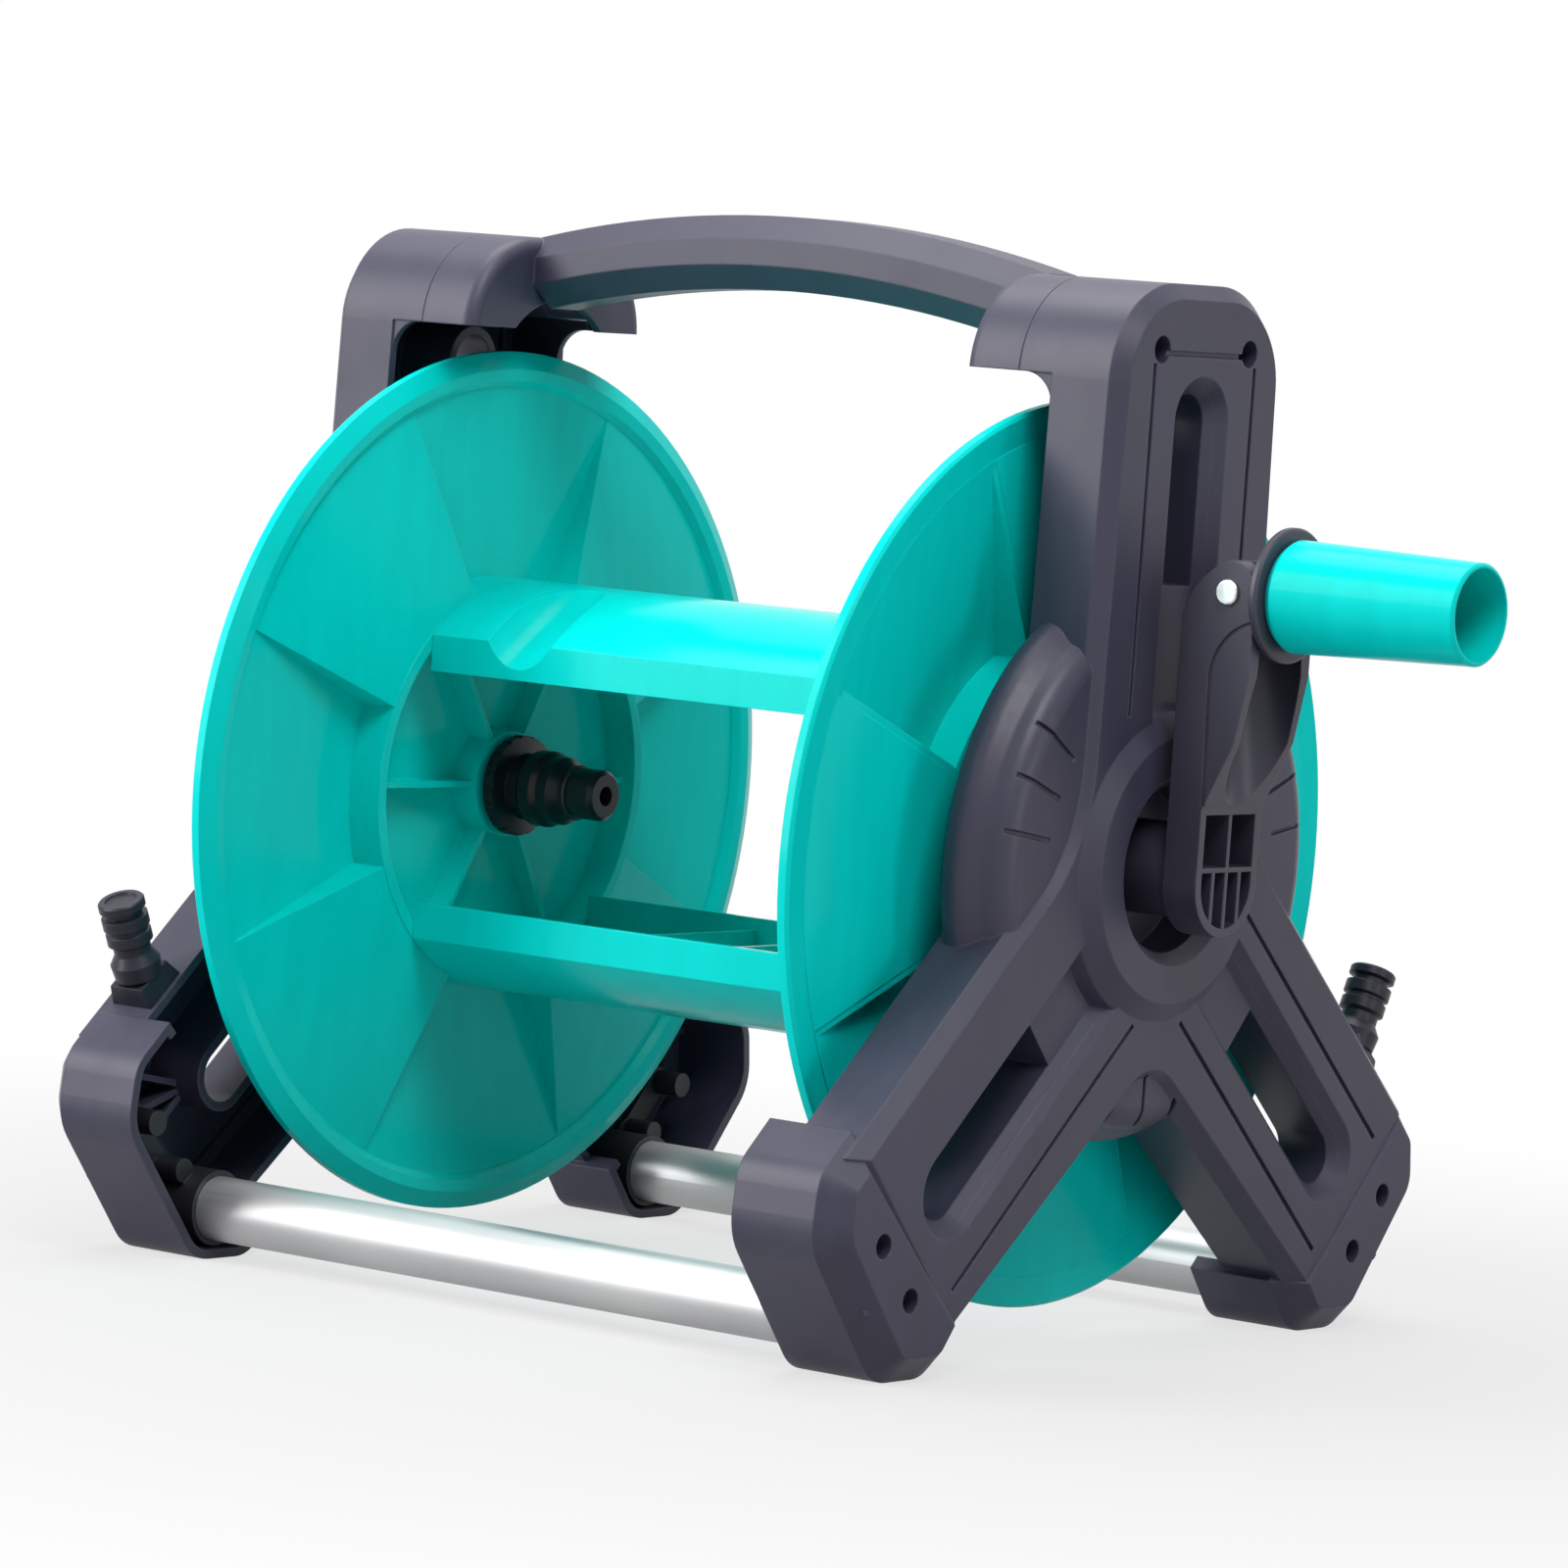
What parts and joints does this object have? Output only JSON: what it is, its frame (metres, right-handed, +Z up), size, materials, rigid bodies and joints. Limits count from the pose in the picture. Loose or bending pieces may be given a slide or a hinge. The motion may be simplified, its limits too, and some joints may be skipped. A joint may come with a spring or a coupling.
{
  "type": "garden hose reel",
  "caption": "Free-standing portable hose reel: hollow side frames with splayed legs, flanged drum, carry handle, fold-up crank grip, swivelling inlet and tie tubes.",
  "frame": {"origin": "on the floor under the middle of the overall box", "axes": "+X along the reel axis towards the crank, +Y to the back, +Z up"},
  "size_m": [0.4753, 0.3364, 0.364],
  "materials": {
    "frame_grey": "fine-grained moulded polypropylene",
    "teal_plastic": "glossy moulded polypropylene",
    "black_plastic": "moulded black plastic",
    "aluminium_tube": "drawn and satin anodised",
    "zinc_steel": "zinc plated",
    "bearing_plastic": "natural white acetal",
    "seal_rubber": "moulded ring"
  },
  "bodies": {
    "stand": {"left_side_frame": "frame_grey", "right_side_frame": "frame_grey", "carry_handle": "frame_grey", "front_tube": "aluminium_tube", "rear_tube": "aluminium_tube", "front_left_socket": "black_plastic", "front_right_socket": "black_plastic", "rear_left_socket": "black_plastic", "rear_right_socket": "black_plastic", "handle_screws": "zinc_steel", "foot_screws": "zinc_steel", "left_bush": "bearing_plastic", "right_bush": "bearing_plastic", "left_parking_peg": "frame_grey", "right_parking_peg": "frame_grey"},
    "reel": {"left_flange": "teal_plastic", "right_flange": "teal_plastic", "upper_drum_bar": "teal_plastic", "lower_bar": "teal_plastic", "drum_screws": "zinc_steel", "drive_shaft": "black_plastic", "drive_washer": "zinc_steel", "drive_bolt": "zinc_steel", "crank_arm": "frame_grey", "hinge_pin": "zinc_steel", "water_spindle": "black_plastic", "spindle_clip": "zinc_steel", "spindle_seals": "seal_rubber", "hose_nipple": "black_plastic", "hose_nipple_seal": "seal_rubber"},
    "grip_mount": {"grip_holder": "frame_grey", "grip_clip": "zinc_steel"},
    "grip": {"crank_grip": "teal_plastic"},
    "inlet": {"inlet_elbow": "black_plastic", "inlet_nipple": "black_plastic", "inlet_nipple_seal": "seal_rubber"}
  },
  "joints": [
    {"name": "reel_turn", "type": "hinge", "parent": "stand", "child": "reel", "pos_m": [-0.0435, 0, 0.161], "axis": [1, 0, 0], "continuous": true},
    {"name": "grip_fold", "type": "hinge", "parent": "reel", "child": "grip_mount", "pos_m": [0.1505, 0, 0.2535], "axis": [0, -1, 0], "range_deg": [0, 90]},
    {"name": "grip_spin", "type": "hinge", "parent": "grip_mount", "child": "grip", "pos_m": [0.1765, 0, 0.2535], "axis": [1, 0, 0], "continuous": true},
    {"name": "inlet_swivel", "type": "hinge", "parent": "stand", "child": "inlet", "pos_m": [-0.2085, 0, 0.161], "axis": [1, 0, 0], "continuous": true}
  ]
}
